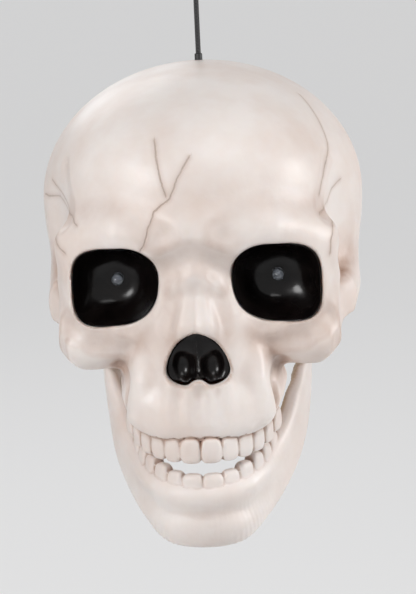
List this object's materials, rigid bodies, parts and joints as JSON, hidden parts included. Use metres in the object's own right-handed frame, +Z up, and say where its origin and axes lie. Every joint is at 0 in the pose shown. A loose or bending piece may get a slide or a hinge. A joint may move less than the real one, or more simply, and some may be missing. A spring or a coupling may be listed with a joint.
{
  "type": "hanging skull decoration",
  "caption": "Life-size plastic skull that hangs on a cord, with black eye cups and clear lamps, a black nose insert and a hinged jaw.",
  "frame": {"origin": "the point inside the top of the hanging loop where it bears on its hook", "axes": "+Z up, the face looks along -Y, +X to the right of someone who looks at the face"},
  "size_m": [0.1494, 0.1844, 0.2873],
  "materials": {
    "bone": "satin moulded, with a thin brown wash in the grooves",
    "socket_black": "gloss",
    "black_plastic": "moulded",
    "clear_lamp": "clear, polished",
    "plated_steel": "zinc plated",
    "cell_jacket": "plain printed jacket",
    "cord_fibre": "braided",
    "lead_sleeve": "matte"
  },
  "bodies": {
    "head": {"face_shell": "bone", "rear_shell": "bone", "nose_insert": "socket_black", "eye_cup_left": "socket_black", "eye_cup_right": "socket_black", "lamp_left": "clear_lamp", "lamp_right": "clear_lamp", "lamp_holder_left": "black_plastic", "lamp_holder_right": "black_plastic", "lamp_lead_left": "lead_sleeve", "lamp_lead_right": "lead_sleeve", "jaw_washer_left": "black_plastic", "jaw_washer_right": "black_plastic", "jaw_pivot_screw_left": "plated_steel", "jaw_pivot_screw_right": "plated_steel", "battery_box_screw_left": "plated_steel", "battery_box_screw_right": "plated_steel", "shell_screw_upper_left": "plated_steel", "shell_screw_upper_right": "plated_steel", "shell_screw_lower_left": "plated_steel", "shell_screw_lower_right": "plated_steel", "battery_box": "black_plastic", "battery_1": "cell_jacket", "battery_2": "cell_jacket", "contact_bridge": "plated_steel", "contact_positive": "plated_steel", "contact_negative": "plated_steel", "switch_body": "black_plastic", "switch_lead": "lead_sleeve", "cord_grommet": "black_plastic", "cord_washer": "plated_steel", "cord_end_knot": "cord_fibre", "hanging_cord": "cord_fibre", "cord_top_knot": "cord_fibre", "hanging_loop": "cord_fibre"},
    "jaw": {"jaw_shell": "bone"},
    "door": {"battery_door": "bone", "battery_door_screw": "plated_steel"},
    "slider": {"switch_slider": "black_plastic"}
  },
  "joints": [
    {"name": "jaw_hinge", "type": "hinge", "parent": "head", "child": "jaw", "pos_m": [0, -0.018, -0.19829], "axis": [1, 0, 0], "range_deg": [-2.5, 18]},
    {"name": "battery_door_hinge", "type": "hinge", "parent": "head", "child": "door", "pos_m": [0, -0.00045, -0.21129], "axis": [-1, 0, 0], "range_deg": [0, 75]},
    {"name": "switch_slide", "type": "slide", "parent": "head", "child": "slider", "axis": [0, 1, 0], "range_m": [0, 0.0036]}
  ]
}
